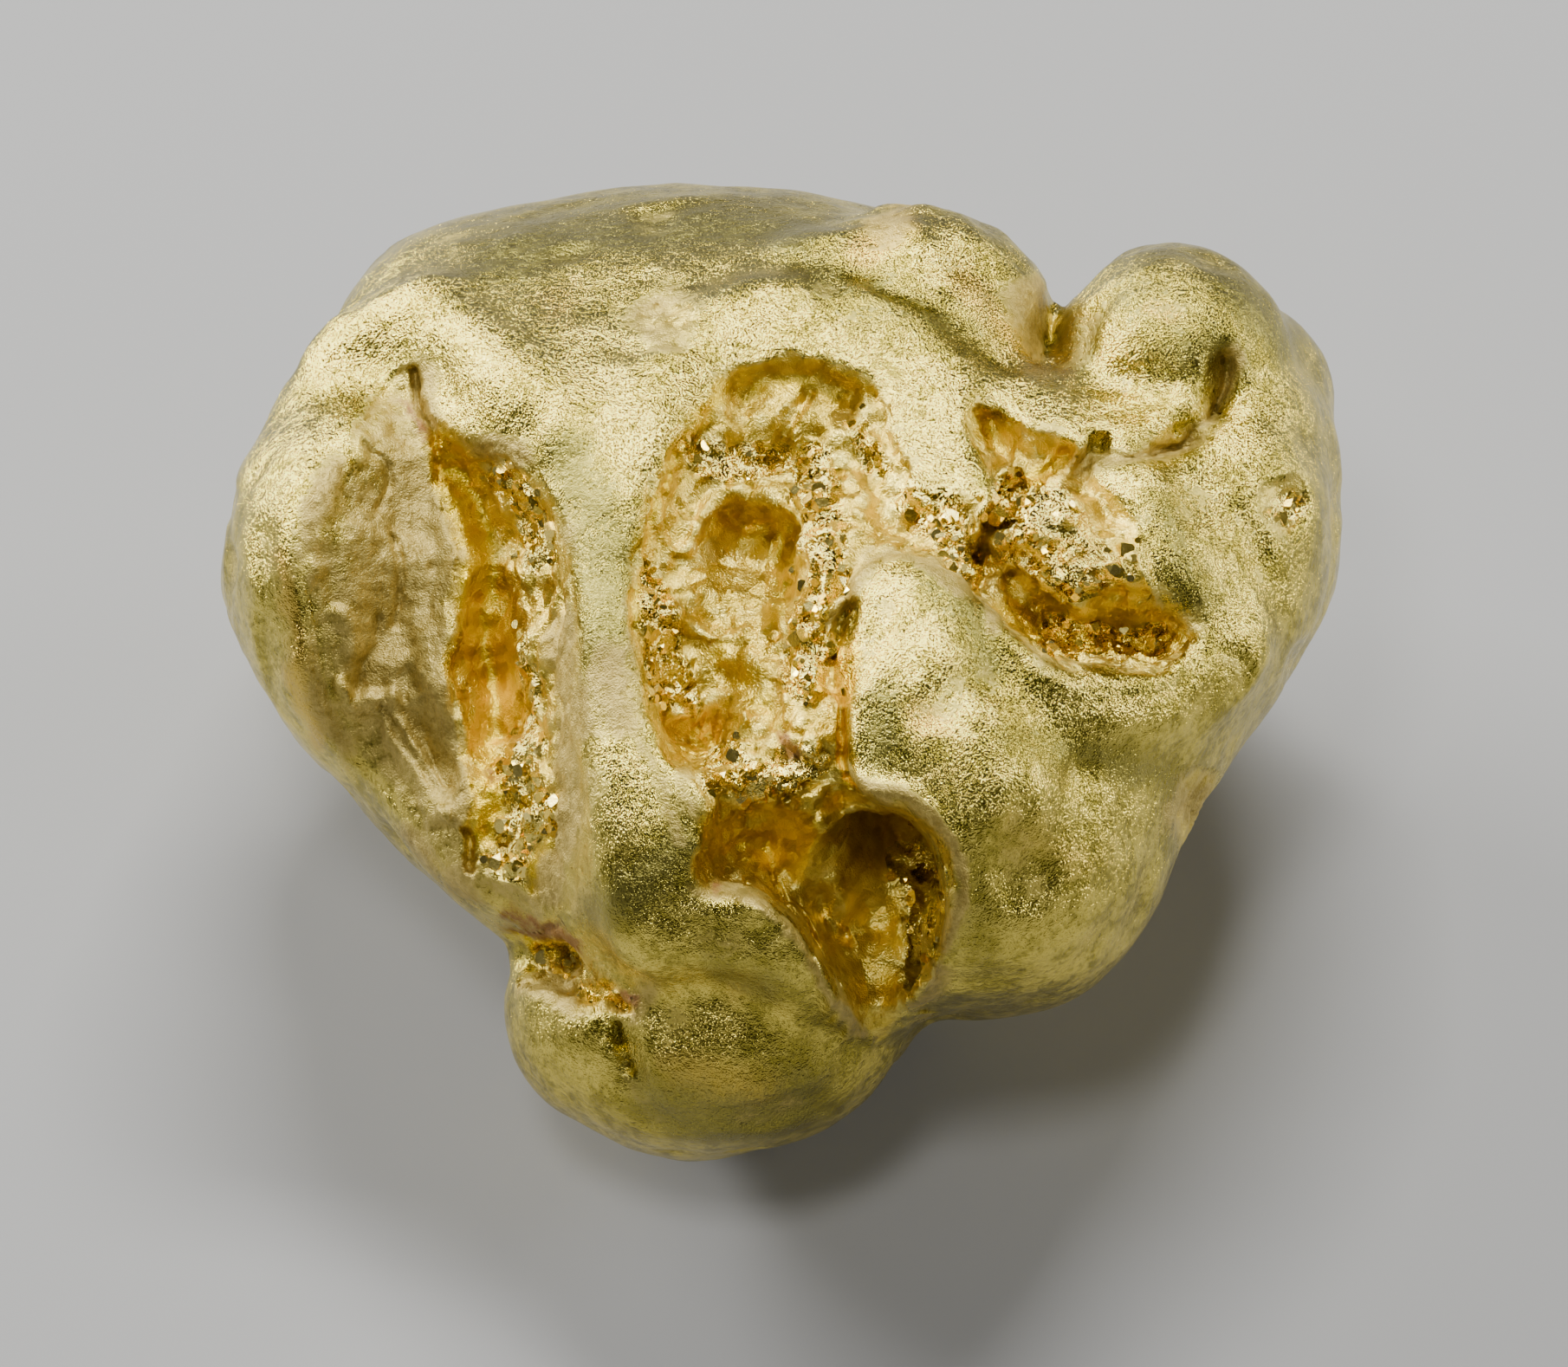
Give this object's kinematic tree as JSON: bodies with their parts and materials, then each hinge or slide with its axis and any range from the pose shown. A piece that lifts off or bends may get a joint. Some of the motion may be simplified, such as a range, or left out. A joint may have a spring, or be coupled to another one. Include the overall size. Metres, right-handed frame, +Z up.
{
  "type": "gold nugget",
  "caption": "Stream-worn lump of native gold with rounded lobes, a clay-stained ledge and crystal-lined hollows, resting on a small worn flat.",
  "frame": {"origin": "centre of the footprint, on the surface the nugget rests on", "axes": "+Z up; +X to the right when the face with the hollows is seen from the front; -Y forward, the way the face looks as it leans up at 50 degrees"},
  "size_m": [0.0182, 0.0176, 0.0111],
  "materials": {
    "native_gold": "water-worn natural gold, softly glossy and finely dented outside, sugary and amber inside the hollows, with clay and iron stain on their rims"
  },
  "bodies": {
    "root": {"gold_nugget": "native_gold"}
  },
  "joints": []
}
